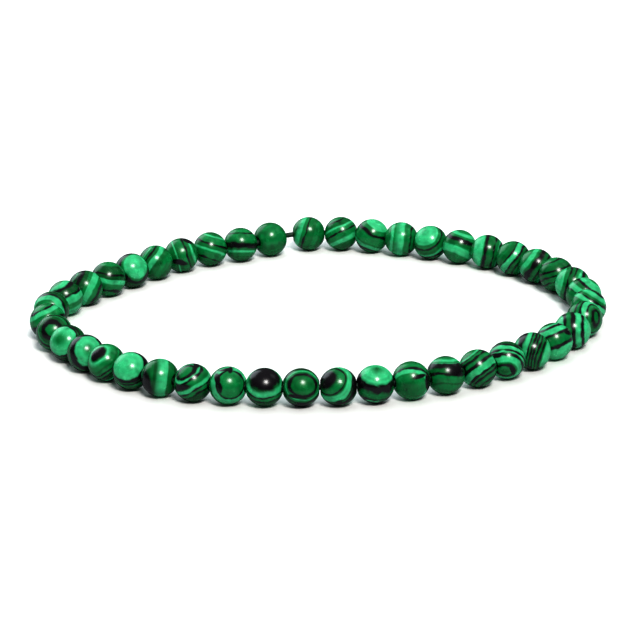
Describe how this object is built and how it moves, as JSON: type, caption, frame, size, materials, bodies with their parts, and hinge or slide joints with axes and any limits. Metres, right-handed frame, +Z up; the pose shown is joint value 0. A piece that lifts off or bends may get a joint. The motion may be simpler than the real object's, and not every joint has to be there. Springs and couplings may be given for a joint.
{
  "type": "beaded bracelet",
  "caption": "Stretch bracelet of round, drilled and polished banded green stone beads on one elastic thread, lying closed in a slightly uneven oval.",
  "frame": {"origin": "on the surface that the bracelet lies on, below the middle of the loop's box", "axes": "+X along the loop's longer side, +Y away from its nearer side in the picture's view, +Z up from the surface"},
  "size_m": [0.0638, 0.0548, 0.004],
  "materials": {
    "stone": "gloss",
    "thread": "satin"
  },
  "bodies": {
    "root": {"bead_01": "stone", "bead_02": "stone", "bead_03": "stone", "bead_04": "stone", "bead_05": "stone", "bead_06": "stone", "bead_07": "stone", "bead_08": "stone", "bead_09": "stone", "bead_10": "stone", "bead_11": "stone", "bead_12": "stone", "bead_13": "stone", "bead_14": "stone", "bead_15": "stone", "bead_16": "stone", "bead_17": "stone", "bead_18": "stone", "bead_19": "stone", "bead_20": "stone", "bead_21": "stone", "bead_22": "stone", "bead_23": "stone", "bead_24": "stone", "bead_25": "stone", "bead_26": "stone", "bead_27": "stone", "bead_28": "stone", "bead_29": "stone", "bead_30": "stone", "bead_31": "stone", "bead_32": "stone", "bead_33": "stone", "bead_34": "stone", "bead_35": "stone", "bead_36": "stone", "bead_37": "stone", "bead_38": "stone", "bead_39": "stone", "bead_40": "stone", "bead_41": "stone", "bead_42": "stone", "bead_43": "stone", "bead_44": "stone", "thread": "thread"}
  },
  "joints": []
}
